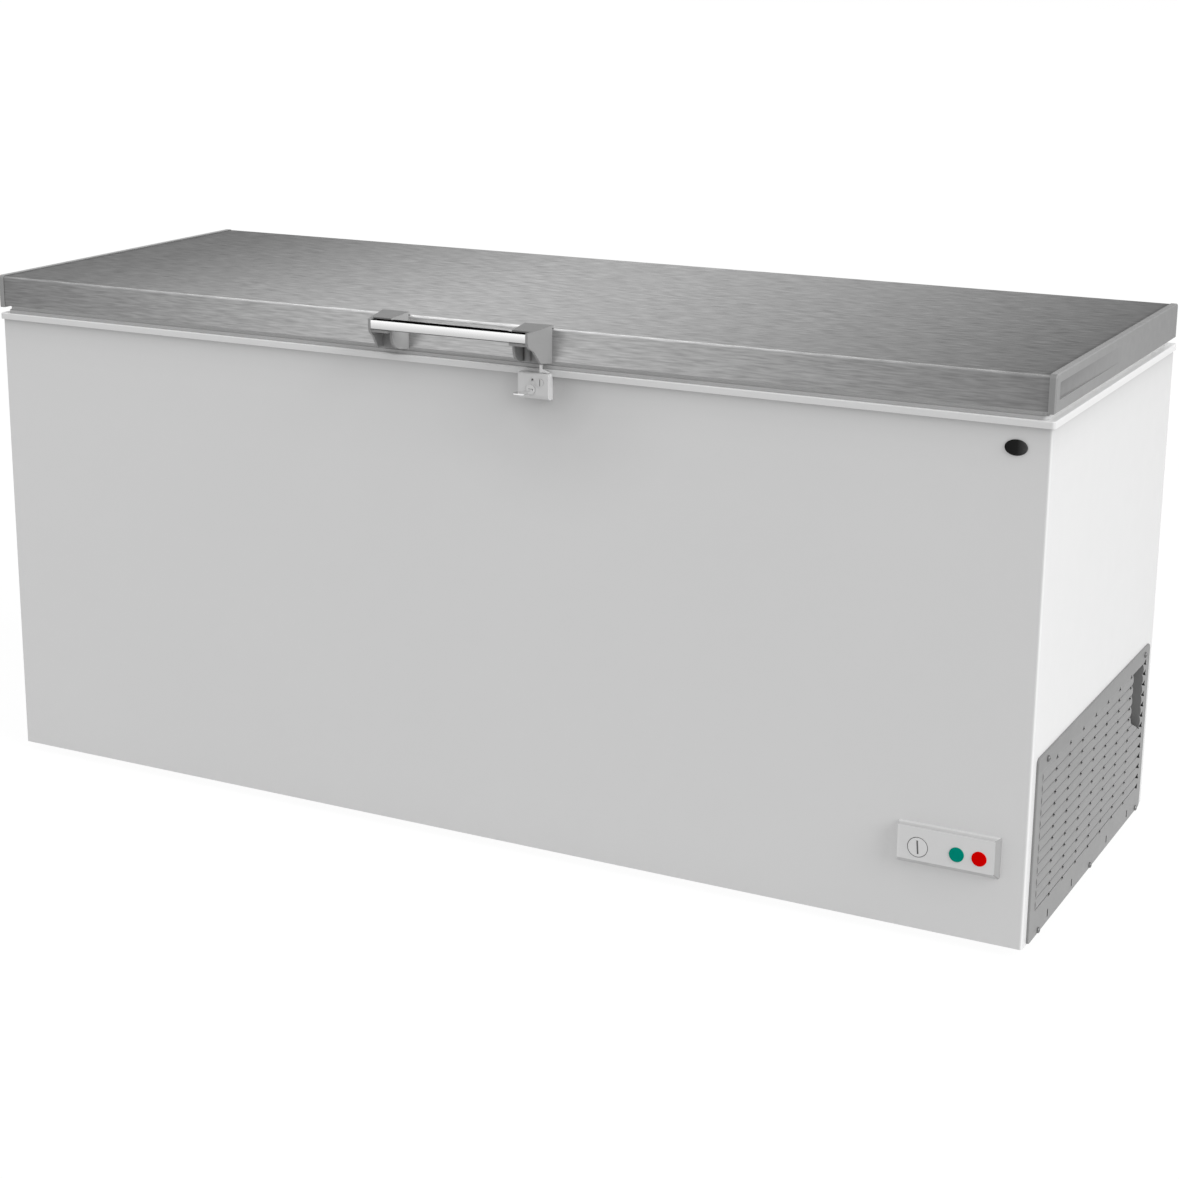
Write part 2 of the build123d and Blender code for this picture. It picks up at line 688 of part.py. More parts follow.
# Lock
def lock_housing():
    """White lock case with a bore for the key plug and a slot for the hook."""
    x0, x1 = CASE_X
    z0, z1 = CASE_Z
    case = block(x0, x1, CASE_Y, FRONT, z0, z1)
    case = fillet(case.edges().filter_by(Axis.X).group_by(Axis.Z)[0].sort_by(Axis.Y)[0], CASE_BOTTOM_R)
    case = fillet(case.edges().filter_by(Axis.X).group_by(Axis.Z)[-1].sort_by(Axis.Y)[0], CASE_TOP_R)
    ring = rod_y(LOCK_X, CASE_Y - RING_H, CASE_Y + 1, LOCK_Z, RING_R)
    case += ring - rod_y(LOCK_X, CASE_Y - 1, CASE_Y + 2, LOCK_Z, RING_R - RING_W)
    case -= block(x0 - 1, x1 + 1, FRONT - RIM_OUT - RIM_CLEAR, FRONT + 1, RIM_Z - RIM_CLEAR, RIM_TOP)
    case -= rod_y(LOCK_X, CASE_Y - 1, FRONT - 3, LOCK_Z, PLUG_R + RUN_FIT)
    slot_x0, slot_x1 = HOOK_X - HOOK_SIDE, HOOK_X + HOOK_T + HOOK_SIDE
    case -= block(slot_x0, slot_x1, CASE_Y + CASE_WALL, FRONT - 1, HOOK_Z - 6, z1 + 1)
    return case - rod_x(*HOOK_PIN_X, HOOK_Y, HOOK_Z, HOOK_PIN_R + SEAT_FIT)


def lock_pivot_pin():
    """Cross pin cast into the case, which carries the hook."""
    return rod_x(*HOOK_PIN_X, HOOK_Y, HOOK_Z, HOOK_PIN_R)


def lock_hook():
    """Upright finger with a side gusset, reaching up to the handle bracket."""
    plate = prism_x(from_front(HOOK_FINGER), HOOK_X, HOOK_X + HOOK_T)
    web = prism_y([(x, BASE_Z + h) for x, h in GUSSET], FRONT - 11, FRONT - 8)
    return plate + web - rod_x(HOOK_X - 1, HOOK_X + HOOK_T + 1, HOOK_Y, HOOK_Z, HOOK_PIN_R + RUN_FIT)


def lock_plug():
    """Turning plug with a level key slot."""
    plug = rod_y(LOCK_X, CASE_Y - 0.8, FRONT - 4, LOCK_Z, PLUG_R)
    w, t = KEY_BLADE / 2 + 0.5, KEY_T / 2 + 0.3
    return plug - block(LOCK_X - w, LOCK_X + w, CASE_Y - 1, CASE_Y + 10, LOCK_Z - t, LOCK_Z + t)


def lock_key():
    """Flat key left in the plug, with its bow lying level."""
    w, t = KEY_BLADE / 2, KEY_T / 2
    tip, bow_y = CASE_Y - KEY_REACH, CASE_Y - KEY_REACH + KEY_BOW
    blade = block(LOCK_X - w, LOCK_X + w, bow_y - 2, CASE_Y + 9, LOCK_Z - t, LOCK_Z + t)
    bow = slab(LOCK_X - KEY_BOW / 2, LOCK_X + KEY_BOW / 2, tip, bow_y, LOCK_Z - t, LOCK_Z + t, 5)
    return blade + bow - rod_z(LOCK_X, tip + 2 * KEY_HOLE_R, LOCK_Z - 2 * t, LOCK_Z + 2 * t, KEY_HOLE_R)


def lock_screws():
    """Large and small slotted screw heads in the face of the lock case."""
    heads = []
    for x, z, r in LOCK_SCREWS:
        head = rod_y(x, CASE_Y - 1, CASE_Y, z, r)
        heads.append(head - block(x - 0.6, x + 0.6, CASE_Y - 2, CASE_Y - 0.4, z - r + 0.8, z + r - 0.8))
    return group(heads)


# Lid
def lid_block(x0, x1, grow, z0):
    """Lid outline with rounded long top edges, larger than the steel by grow."""
    body = block(x0, x1, LID_FRONT - grow, LID_BACK + grow, z0, LID_TOP + grow)
    return fillet(body.edges().filter_by(Axis.X).group_by(Axis.Z)[-1], LID_R + grow)


def lid_skin():
    """Brushed steel sheet bent over the top, front and back."""
    return lid_block(-LID_X, LID_X, 0, LID_Z) - lid_block(-CAP_X, CAP_X, -SKIN_T, LID_Z - 1)


def lid_foam():
    """Insulation inside the lid."""
    return lid_block(-LID_X, LID_X, -SKIN_T, LID_Z + LINING_T)


def lid_inner_panel():
    """Flat sheet that closes the underside of the lid."""
    return block(-LID_X, LID_X, LID_FRONT + SKIN_T, LID_BACK - SKIN_T, LID_Z, LID_Z + LINING_T)


def lid_end_cap():
    """Grey cap over the right-hand end, dished towards the front inside a flush border."""
    cap = lid_block(CAP_IN, CAP_X, CAP_PROUD, LID_Z - CAP_DROP)
    cap = fillet(cap.faces().sort_by(Axis.X)[-1].edges(), CAP_EDGE_R)
    cap -= lid_block(CAP_IN - 1, CAP_X - CAP_WALL, 0, LID_Z)
    dish = [(CAP_X, DISH_Y), (CAP_X - DISH, DISH_Y), (CAP_X, DISH_Y + DISH_L)]
    return cap - prism_z(dish, DISH_Z0, DISH_Z1)


def seal_ring(inset, z0, z1):
    """Rectangular seal loop set in from the outer line of the gasket."""
    x, y0, y1 = SEAL_X - inset, SEAL_FRONT + inset, SEAL_BACK - inset
    width = SEAL_W - 2 * inset
    ring = slab(-x, x, y0, y1, z0, z1, SEAL_R_OUT)
    return ring - slab(-x + width, x - width, y0 + width, y1 - width, z0, z1, SEAL_R_IN)


def lid_gasket():
    """Two-step soft seal under the lid, widest where it meets the frame."""
    middle = RIM_TOP + SEAL_LIP_H
    return seal_ring(0, RIM_TOP + SEAL_CLEAR, middle) + seal_ring(SEAL_STEP, middle, LID_Z)


# Handle
def bracket_plan(inset, y_back):
    """Tapered room that one bracket takes up, seen from above, drawn in by inset at both sides."""
    plan = [(INNER_BACK + inset, y_back), (OUTER_BACK - inset, y_back),
            (OUTER_FRONT - inset, HANDLE_FRONT), (INNER_FRONT + inset, HANDLE_FRONT)]
    return prism_z(plan, RIM_TOP, LID_TOP + RIM_T)


def handle_bracket():
    """Right-hand bracket: two cheeks, a sloping top, a back plate, and a rest with a post under the bar."""
    middle = (INNER_BACK + OUTER_BACK) / 2
    cheeks = prism_x(from_front(CHEEK_OUTER), middle, OUTER_BACK)
    cheeks += prism_x(from_front(CHEEK_INNER), INNER_BACK, middle)
    cheeks -= bracket_plan(CHEEK_T, LID_FRONT - BACK_T)
    top = prism_x(from_front(TOP_PLATE), INNER_BACK, OUTER_BACK)
    rest = block(INNER_BACK, OUTER_BACK, BAR_Y0 + 2, LID_FRONT, BAR_REST, BAR_Z0)
    post = rod_z(POST_X, LID_FRONT - BACK_T - POST_R + 1, POST_Z, BAR_REST + 1, POST_R)
    body = (cheeks + top + rest + post) & bracket_plan(0, FRONT)
    return body - block(0, BAR_X, HANDLE_FRONT, BAR_Y1, BAR_Z0, BAR_Z1)


def handle_bar():
    """Polished channel with rounded lower edges, open along the top."""
    bar = block(-BAR_X, BAR_X, BAR_Y0, BAR_Y1, BAR_Z0, BAR_Z1)
    bar = fillet(bar.edges().filter_by(Axis.X).group_by(Axis.Z)[0], BAR_BOTTOM_R)
    bar = fillet(bar.edges().filter_by(Axis.X).group_by(Axis.Z)[-1].sort_by(Axis.Y)[0], BAR_TOP_R)
    return bar - block(-BAR_X, BAR_X, BAR_Y0 + BAR_LIP, INSERT_Y1, BAR_Z1 - INSERT_H, BAR_Z1 + 1)


def handle_insert():
    """Dark strip that fills the open top of the bar."""
    y0, y1 = BAR_Y0 + BAR_LIP, INSERT_Y1
    return block(-INSERT_X, INSERT_X, y0, y1, BAR_Z1 - INSERT_H, BAR_Z1 + INSERT_PROUD)


def handle_screws():
    """One screw in the back plate of each bracket, under the bar's rest."""
    y1 = LID_FRONT - BACK_T
    y0 = y1 - GRIP_SCREW_H
    z = GRIP_SCREW_Z
    screws = []
    for x in (-GRIP_SCREW_X, GRIP_SCREW_X):
        head = rod_y(x, y0, y1, z, GRIP_SCREW_R)
        screws.append(head - block(x - 3, x + 3, y0 - 1, y0 + 1, z - 0.5, z + 0.5))
    return group(screws)


# Hinges
def hinge_bracket(x):
    """Plate on the back panel with two ears for the pin."""
    face = BACK + SHEET + PLATE_T
    plate = block(x - PLATE_X, x + PLATE_X, BACK + SHEET, face, PLATE_Z, RIM_Z - 2)
    side = [(face - 1, PLATE_Z), (face - 1, RIM_Z - 4), (face + 1, RIM_Z - 2), (face + 1, AXIS_Z),
            (AXIS_Y + EAR_R, AXIS_Z), (AXIS_Y + EAR_R / 2, EAR_Z)]
    for edge in (x - EAR_X - EAR_T, x + EAR_X):
        plate += prism_x(side, edge, edge + EAR_T)
        plate += rod_x(edge, edge + EAR_T, AXIS_Y, AXIS_Z, EAR_R)
    return plate - rod_x(x - PLATE_X, x + PLATE_X, AXIS_Y, AXIS_Z, PIN_R + SEAT_FIT)


def hinge_pin(x):
    """Headed pin through both ears."""
    reach = EAR_X + EAR_T
    pin = rod_x(x - reach - PIN_HEAD, x + reach + PIN_HEAD, AXIS_Y, AXIS_Z, PIN_R)
    for side in (-1, 1):
        pin += rod_x(x + side * reach, x + side * (reach + PIN_HEAD), AXIS_Y, AXIS_Z, PIN_HEAD_R)
    return pin


def hinge_arm(x):
    """Lid half of the hinge: plate on the lid, web and two sleeves on the pin."""
    arm = block(x - ARM_X, x + ARM_X, LID_BACK, LID_BACK + ARM_T, WEB_Z0, LID_TOP - 2 * ARM_T)
    arm += block(x - ARM_X, x + ARM_X, LID_BACK, AXIS_Y + 6, WEB_Z0, WEB_Z1)
    for end in (x - ARM_X, x + ARM_X - SLEEVE_L):
        arm += rod_x(end, end + SLEEVE_L, AXIS_Y, AXIS_Z, SLEEVE_R)
        arm += block(end, end + SLEEVE_L, AXIS_Y - 6, AXIS_Y + 6, AXIS_Z, WEB_Z1 - 1)
    return arm - rod_x(x - PLATE_X, x + PLATE_X, AXIS_Y, AXIS_Z, PIN_R + RUN_FIT)


def coil_point(quarter):
    """Point on the balance spring's winding, counted in quarter turns."""
    angle = pi / 2 * quarter
    return Vector(SPRING_R * cos(angle), SPRING_R * sin(angle), SPRING_PITCH * quarter / 4)


def spring_path():
    """Leg, winding and second leg of the balance spring as one smooth line."""
    heading = Vector(0, 2 * pi * SPRING_R, SPRING_PITCH).normalized()
    runs = [Line(coil_point(0) - heading * SPRING_LEGS[0], coil_point(0))]
    for quarter in range(4 * SPRING_TURNS):
        bend = TangentArc(coil_point(quarter), coil_point(quarter + 1), tangent=heading)
        heading = bend % 1
        runs.append(bend)
    end = coil_point(4 * SPRING_TURNS)
    runs.append(Line(end, end + heading * SPRING_LEGS[1]))
    return Wire(runs)


def least_gap(path, r):
    """Smallest clear space between one turn of a wound tube and the next."""
    samples = 400
    half_turn = int(samples * pi * SPRING_R / path.length)
    points = [path @ (k / samples) for k in range(samples + 1)]
    spans = [(a - b).length for k, a in enumerate(points) for b in points[k + half_turn:]]
    return min(spans) - 2 * r


def hinge_spring(x):
    """Lid balance spring wound round the pin, with one leg on the plate and one under the web."""
    path = spring_path()
    section = Plane(origin=path @ 0, z_dir=path % 0) * Circle(SPRING_WIRE_R)
    wire = sweep(section, path=path)
    start = x - SPRING_PITCH * SPRING_TURNS / 2
    return Plane(origin=(start, AXIS_Y, AXIS_Z), x_dir=(0, -1, 0), z_dir=(1, 0, 0)) * wire


def screw_heads(spots, y):
    """Flat screw heads standing out to the back from y."""
    return group([rod_y(x, y, y + HINGE_SCREW_H, z, HINGE_SCREW_R) for x, z in spots])


def hinge_screws():
    """Screws that hold the hinge plates to the back of the cabinet."""
    edges = [x + a for x in (-HINGE_X, HINGE_X) for a in (-HINGE_SCREW_X, HINGE_SCREW_X)]
    return screw_heads([(x, z) for x in edges for z in HINGE_SCREW_Z], BACK + SHEET + PLATE_T)


def hinge_arm_screws():
    """Screws that hold the hinge arms to the back of the lid."""
    edges = [x + a for x in (-HINGE_X, HINGE_X) for a in (-HINGE_SCREW_X, HINGE_SCREW_X)]
    return screw_heads([(x, ARM_SCREW_Z) for x in edges], LID_BACK + ARM_T)


right_cap = lid_end_cap()
right_bracket = handle_bracket()

nodes = {
    "cabinet_wrap": cabinet_wrap(),
    "back_panel": back_panel(),
    "back_rivets": back_rivets(),
    "cable_gland": cable_gland(),
    "base_panel": base_panel(),
    "compressor_tray": compressor_tray(),
    "foot_front_left": foot(-1, FRONT + FOOT_INSET),
    "foot_front_right": foot(1, FRONT + FOOT_INSET),
    "foot_back_left": foot(-1, BACK - FOOT_INSET),
    "foot_back_right": foot(1, BACK - FOOT_INSET),
    "inner_liner": inner_liner(),
    "cabinet_foam": cabinet_foam(),
    "top_rim": top_rim(),
    "evaporator_coil": evaporator_coil(),
    "condenser_coil": condenser_coil(),
    "compressor": compressor(),
    "compressor_grommets": compressor_grommets(),
    "relay_box": relay_box(),
    "discharge_line": discharge_line(),
    "suction_line": suction_line(),
    "filter_drier": filter_drier(),
    "vent_grille": vent_grille(),
    "grille_window_plate": grille_window_plate(),
    "grille_window_legs": grille_window_legs(),
    "grille_screws": grille_screws(),
    "control_panel": control_panel(),
    "thermostat_knob": thermostat_knob(),
    "thermostat_body": thermostat_body(),
    "green_lamp": lamp(LAMP_X[0]),
    "red_lamp": lamp(LAMP_X[1]),
    "badge_plate": badge_plate(),
    "lock_housing": lock_housing(),
    "lock_pivot_pin": lock_pivot_pin(),
    "lock_hook": lock_hook(),
    "lock_plug": lock_plug(),
    "lock_key": lock_key(),
    "lock_screws": lock_screws(),
    "lid_skin": lid_skin(),
    "lid_foam": lid_foam(),
    "lid_inner_panel": lid_inner_panel(),
    "lid_end_cap_right": right_cap,
    "lid_end_cap_left": mirror(right_cap, about=Plane.YZ),
    "lid_gasket": lid_gasket(),
    "handle_bracket_right": right_bracket,
    "handle_bracket_left": mirror(right_bracket, about=Plane.YZ),
    "handle_bar": handle_bar(),
    "handle_insert": handle_insert(),
    "handle_screws": handle_screws(),
    "hinge_bracket_left": hinge_bracket(-HINGE_X),
    "hinge_bracket_right": hinge_bracket(HINGE_X),
    "hinge_pin_left": hinge_pin(-HINGE_X),
    "hinge_pin_right": hinge_pin(HINGE_X),
    "hinge_spring_left": hinge_spring(-HINGE_X),
    "hinge_spring_right": hinge_spring(HINGE_X),
    "hinge_arm_left": hinge_arm(-HINGE_X),
    "hinge_arm_right": hinge_arm(HINGE_X),
    "hinge_screws": hinge_screws(),
    "hinge_arm_screws": hinge_arm_screws(),
}

print("least gap in the hinge springs, mm:", round(least_gap(spring_path(), SPRING_WIRE_R), 2))

for name, shape in nodes.items():
    export_step(shape, f"parts/{name}.step")
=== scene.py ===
import json
from math import cos, radians, sin

import bpy
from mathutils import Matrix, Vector


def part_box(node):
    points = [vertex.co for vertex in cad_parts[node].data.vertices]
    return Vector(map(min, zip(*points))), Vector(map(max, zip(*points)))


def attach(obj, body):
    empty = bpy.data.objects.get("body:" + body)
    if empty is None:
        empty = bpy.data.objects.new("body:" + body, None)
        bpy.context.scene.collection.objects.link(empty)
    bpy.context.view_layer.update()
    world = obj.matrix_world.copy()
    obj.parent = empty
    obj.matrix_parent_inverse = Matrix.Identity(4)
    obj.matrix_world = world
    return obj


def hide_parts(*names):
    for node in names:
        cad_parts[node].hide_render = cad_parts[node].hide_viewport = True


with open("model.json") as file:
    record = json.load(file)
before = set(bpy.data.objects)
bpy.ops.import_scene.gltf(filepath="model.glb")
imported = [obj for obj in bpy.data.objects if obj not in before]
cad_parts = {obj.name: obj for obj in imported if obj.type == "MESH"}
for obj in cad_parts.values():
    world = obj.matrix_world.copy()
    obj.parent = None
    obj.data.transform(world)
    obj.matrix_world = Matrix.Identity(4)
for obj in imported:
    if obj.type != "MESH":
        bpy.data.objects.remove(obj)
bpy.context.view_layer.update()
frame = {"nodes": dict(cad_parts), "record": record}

nodes = frame["nodes"]


def span(node, axis):
    """Lowest and highest place of a CAD node along one axis, in metres."""
    low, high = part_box(node)
    index = "XYZ".index(axis)
    return low[index], high[index]


def middle(node, axis):
    """Middle of a CAD node along one axis, in metres."""
    return sum(span(node, axis)) / 2


# Camera of the photograph, in metres and degrees, fitted to the straight edges of the cabinet and lid
CAMERA_AT = (1.74744, -3.35641, 1.44878)
CAMERA_TURN = (74.931, 0.0, 28.747)
CAMERA_LENS = 72.187
CAMERA_SHIFT = (0.06641, -0.04386)

# Light levels, and the direction of the main light in degrees: off the right-hand side, and over the floor
AMBIENT = 0.555
SUN_AZIMUTH = 10.0
SUN_HEIGHT = 30.0
SUN_STRENGTH = 1.75
SUN_ANGLE = 40.0
BEND_LIGHT_AT = (-1.35, -1.0, 3.2)
BEND_LIGHT_AIM = (-1.35, -0.32, 0.84)
BEND_LIGHT_SIZE = (5.0, 0.4)
BEND_LIGHT_POWER = 9.0
FLOOR_SIZE = 60.0
FLOOR_BOUNCE = 0.72
FLOOR_SHADE = 0.09
FLOOR_GLOW = 0.94
WHITE = (1.0, 1.0, 1.0, 1.0)

# Places on the cabinet that the finishes follow, in metres
SHELL_SIDE = span("cabinet_wrap", "X")[1]
SHELL_Y = span("cabinet_wrap", "Y")
SHELL_TOP = span("cabinet_wrap", "Z")[1]
# Height band of the painted shade under the frame
SHADE_BELOW_FRAME_Z = (SHELL_TOP - 0.16, SHELL_TOP)
# Run of the painted sheen along the badge
BADGE_SHEEN_X = (0.835, 0.868)

# Places on the lid and its handle
# Run of the painted shade towards the back of the lid and its caps
LID_SHADE_Y = (-0.30, 0.34)
LID_FRONT = span("lid_skin", "Y")[0]
LID_LOW, LID_TOP = span("lid_skin", "Z")
CAP_IN, CAP_SIDE = span("lid_end_cap_right", "X")
# Run of the painted shade at the ends of the lid sheet
SHEET_END_SHADE_X = (0.882, CAP_IN)
# Height band of the painted light on the foot of the seal
SEAL_LIGHT_Z = (SHELL_TOP + 0.003, SHELL_TOP + 0.020)
# Places of the painted shade in the dish of the right-hand cap and of the painted light on its sill
DISH_X = (CAP_SIDE - 0.003, CAP_SIDE)
DISH_Y = (LID_FRONT + 0.016, LID_FRONT + 0.326)
DISH_SILL = LID_LOW + 0.0146
DISH_Z = (DISH_SILL + 0.0006, LID_TOP - 0.0115)
BAR_Z = span("handle_bar", "Z")
GRIP_X = span("handle_bracket_right", "X")[0] - 0.0011
# Band of the painted reflection on the lid behind the grip
GRIP_Y = (LID_FRONT - 0.007, LID_FRONT + 0.004)
GRIP_Z = (0.825, 0.829)
CROWN = 0.0016
DOME_STEPS = 12

# Places on the lock
LOCK_FACE = span("lock_plug", "Y")[0]
# Right-hand edge of the lock, and the reach of the painted shade round it
LOCK_SIDE = (span("lock_hook", "X")[1], 0.0, (span("lock_hook", "Z")[0] + SHELL_TOP) / 2)
LOCK_SHADE_REACH = (0.02, 0.22)
# Height band of the painted shade and light on the finger of the lock
HOOK_SHADE_Z = (SHELL_TOP - 0.005, SHELL_TOP + 0.015)
# Place and size of the painted shade of the recess in the small lock screw
RECESS_SHADE_AT = (0.1212, 0.0, 0.7656)
RECESS_SHADE_EDGE = (0.0011, 0.0017)

# Places on the control panel
PANEL_LEFT = span("control_panel", "X")[0]
PANEL_FRONT = span("control_panel", "Y")[0]
# Run of the painted highlight along the left edge of the panel, and of the painted shade across its upper
# sloping edge
PANEL_LIT_EDGE_X = (PANEL_LEFT + 0.004, PANEL_LEFT + 0.008)
PANEL_SLOPE_Y = (PANEL_FRONT, PANEL_FRONT + 0.012)
DIAL_AT = (middle("thermostat_knob", "X"), 0.0, middle("thermostat_knob", "Z"))
DIAL_LINE = (0.0145, 0.0153)
DIAL_FACE = span("thermostat_knob", "Y")[0] + 0.0002
SLOT_DEPTH = 0.0004

# Places on the vent grille that hold painted shade: its holes, those at its back end, its upper part and
# the edge of its border
HOLES_X = (SHELL_SIDE - 0.0001, SHELL_SIDE + 0.01)
HOLES_Y = (-0.262, 0.2830)
END_HOLES_Y = (0.2855, 0.3015)
HOLES_Z = (0.0235, 0.2722)
GRILLE_SHADE_Z = (0.10, 0.26)
GRILLE_BORDER_SHADE_Z = (0.2725, 0.2745)

# Painted light and shade along those places, as (share of the way, level)
SHADE_BELOW_FRAME = [(0.0, 1.0), (0.56, 0.985), (0.75, 0.96), (0.86, 0.92), (0.94, 0.86), (0.99, 0.76)]
SHADE_TO_BACK = [(0.0, 1.0), (0.1, 0.99), (0.5, 0.965), (1.0, 0.935)]
SHADE_ROUND_LOCK = [(0.0, 0.70), (0.14, 0.83), (0.33, 0.92), (0.75, 0.98), (1.0, 1.0)]
PANEL_SLOPE_SHADE = [(0.0, 0.68), (0.3, 0.71), (0.7, 0.8), (0.9, 0.93)]
BAR_REFLECTION = [(0.0, 0.08), (0.08, 0.12), (0.14, 0.58), (0.42, 0.7), (0.68, 0.85), (0.86, 1.0)]
BADGE_SHEEN = [(0.0, 0.002), (0.55, 0.008), (1.0, 0.08)]
LID_REFLECTION_HALF = [(0.0, 0.20), (0.07, 0.235), (0.20, 0.31), (0.32, 0.39), (0.43, 0.445)]
LID_REFLECTION = LID_REFLECTION_HALF + [(1.0 - at, level) for at, level in LID_REFLECTION_HALF]
LID_REFLECTION_TINT = [(0.0, 0.50), (0.07, 0.50), (0.13, 0.55), (0.25, 0.66),
            (0.45, 0.79), (0.75, 0.69), (0.88, 0.62), (1.0, 0.51)]

# Range that a noise texture mostly stays in, and the whole of a share
GRAIN_RANGE = (0.3, 0.7)
WHOLE = (0.0, 1.0)


# Building blocks of the materials: most add nodes and return the socket with the result
def grey(value):
    """Neutral colour."""
    return (value, value, value)


def material(name, color, roughness, metallic=0.0, **sockets):
    """Principled material whose even values sit on its own sockets."""
    mat = bpy.data.materials.new(name)
    mat.use_nodes = True
    shader = mat.node_tree.nodes["Principled BSDF"]
    shader.inputs["Base Color"].default_value = (*color, 1.0)
    shader.inputs["Roughness"].default_value = roughness
    shader.inputs["Metallic"].default_value = metallic
    for socket, value in sockets.items():
        shader.inputs[socket.replace("_", " ")].default_value = value
    return mat


def drive(mat, socket, value):
    """Feed one socket of the material's shader."""
    mat.node_tree.links.new(value, mat.node_tree.nodes["Principled BSDF"].inputs[socket])


def position(mat):
    """Place on the piece as it stands at rest, in metres."""
    return mat.node_tree.nodes.new("ShaderNodeTexCoord").outputs["Object"]


def one_axis(mat, vector, axis):
    """One axis of a vector."""
    tree = mat.node_tree
    split = tree.nodes.new("ShaderNodeSeparateXYZ")
    tree.links.new(vector, split.inputs[0])
    return split.outputs[axis]


def place(mat, axis):
    """Place along one axis, in metres."""
    return one_axis(mat, position(mat), axis)


def facing(mat, axis):
    """How far the surface turns towards one axis, from -1 to 1."""
    geometry = mat.node_tree.nodes.new("ShaderNodeNewGeometry")
    return one_axis(mat, geometry.outputs["Normal"], axis)


def off_axis(mat, point):
    """Distance in x and z from a line along y, in metres."""
    tree = mat.node_tree
    flat = tree.nodes.new("ShaderNodeVectorMath")
    flat.operation = "MULTIPLY"
    flat.inputs[1].default_value = (1.0, 0.0, 1.0)
    reach = tree.nodes.new("ShaderNodeVectorMath")
    reach.operation = "DISTANCE"
    reach.inputs[1].default_value = point
    tree.links.new(position(mat), flat.inputs[0])
    tree.links.new(flat.outputs[0], reach.inputs[0])
    return reach.outputs["Value"]


def grain(mat, stretch, detail=2.0):
    """Noise with the given number of grains per metre along x, y and z."""
    tree = mat.node_tree
    mapping = tree.nodes.new("ShaderNodeMapping")
    mapping.inputs["Scale"].default_value = stretch
    noise = tree.nodes.new("ShaderNodeTexNoise")
    noise.inputs["Scale"].default_value = 1.0
    noise.inputs["Detail"].default_value = detail
    tree.links.new(position(mat), mapping.inputs["Vector"])
    tree.links.new(mapping.outputs["Vector"], noise.inputs["Vector"])
    return noise.outputs["Fac"]


def even_grain(mat, per_metre, detail=2.0):
    """Noise that is alike along all axes."""
    return grain(mat, (per_metre, per_metre, per_metre), detail)


def spangle(mat, per_metre):
    """One value for each crystal of a galvanised sheet."""
    tree = mat.node_tree
    cells = tree.nodes.new("ShaderNodeTexVoronoi")
    cells.inputs["Scale"].default_value = per_metre
    tree.links.new(position(mat), cells.inputs["Vector"])
    return one_axis(mat, cells.outputs["Color"], "X")


def spread(mat, fac, levels, limits=GRAIN_RANGE):
    """Value that runs from the first level to the second while fac runs between two limits."""
    tree = mat.node_tree
    node = tree.nodes.new("ShaderNodeMapRange")
    node.inputs["From Min"].default_value, node.inputs["From Max"].default_value = limits
    node.inputs["To Min"].default_value, node.inputs["To Max"].default_value = levels
    tree.links.new(fac, node.inputs["Value"])
    return node.outputs["Result"]


def share(mat, fac, limits):
    """Share of the way that fac has gone between two limits, from 0 to 1."""
    return spread(mat, fac, WHOLE, limits)


def scaled(mat, fac, level):
    """Factor of 1 where fac is 0, and of the level where fac is 1."""
    return spread(mat, fac, (1.0, level), WHOLE)


def ramp(mat, fac, stops):
    """Colour that follows fac through (share, colour) stops."""
    tree = mat.node_tree
    node = tree.nodes.new("ShaderNodeValToRGB")
    elements = node.color_ramp.elements
    for at, _ in stops[2:]:
        elements.new(at)
    for element, (at, color) in zip(elements, sorted(stops)):
        element.position = at
        element.color = (*color, 1.0)
    tree.links.new(fac, node.inputs["Fac"])
    return node.outputs["Color"]


def tones(mat, fac, stops):
    """Grey that follows fac through (share, level) stops."""
    return ramp(mat, fac, [(at, grey(level)) for at, level in stops])


def mottle(mat, fac, dark, light):
    """Colour that wanders between two colours with the grain."""
    return ramp(mat, fac, list(zip(GRAIN_RANGE, (dark, light))))


def calculate(tree, operation, first, second):
    """One step of arithmetic on two plain values."""
    node = tree.nodes.new("ShaderNodeMath")
    node.operation = operation
    tree.links.new(first, node.inputs[0])
    tree.links.new(second, node.inputs[1])
    return node.outputs[0]


def product(mat, result, *others):
    """Product of plain values."""
    for value in others:
        result = calculate(mat.node_tree, "MULTIPLY", result, value)
    return result


def times(mat, result, *others):
    """Product of a colour with other colours or plain values."""
    tree = mat.node_tree
    for factor in others:
        node = tree.nodes.new("ShaderNodeVectorMath")
        node.operation = "MULTIPLY"
        tree.links.new(result, node.inputs[0])
        tree.links.new(factor, node.inputs[1])
        result = node.outputs[0]
    return result


def within(mat, value, limits, soft):
    """1 while a value lies between two limits, fading over soft at both ends."""
    low, high = limits
    return product(mat, spread(mat, value, (0.0, 1.0), (low - soft, low)),
                   spread(mat, value, (1.0, 0.0), (high, high + soft)))


def blend(mat, fac, color):
    """White where fac is 0, the colour where it is 1."""
    tree = mat.node_tree
    node = tree.nodes.new("ShaderNodeMix")
    node.data_type = "RGBA"
    node.inputs[6].default_value = WHITE
    tree.links.new(fac, node.inputs[0])
    tree.links.new(color, node.inputs[7])
    return node.outputs[2]


def roughen(mat, fac, low, high):
    """Roughness that wanders between two values with the grain."""
    drive(mat, "Roughness", spread(mat, fac, (low, high)))


def bump(mat, fac, depth):
    """Surface relief of the given depth in metres."""
    tree = mat.node_tree
    relief = tree.nodes.new("ShaderNodeBump")
    relief.inputs["Strength"].default_value = 1.0
    relief.inputs["Distance"].default_value = depth
    tree.links.new(fac, relief.inputs["Height"])
    drive(mat, "Normal", relief.outputs["Normal"])


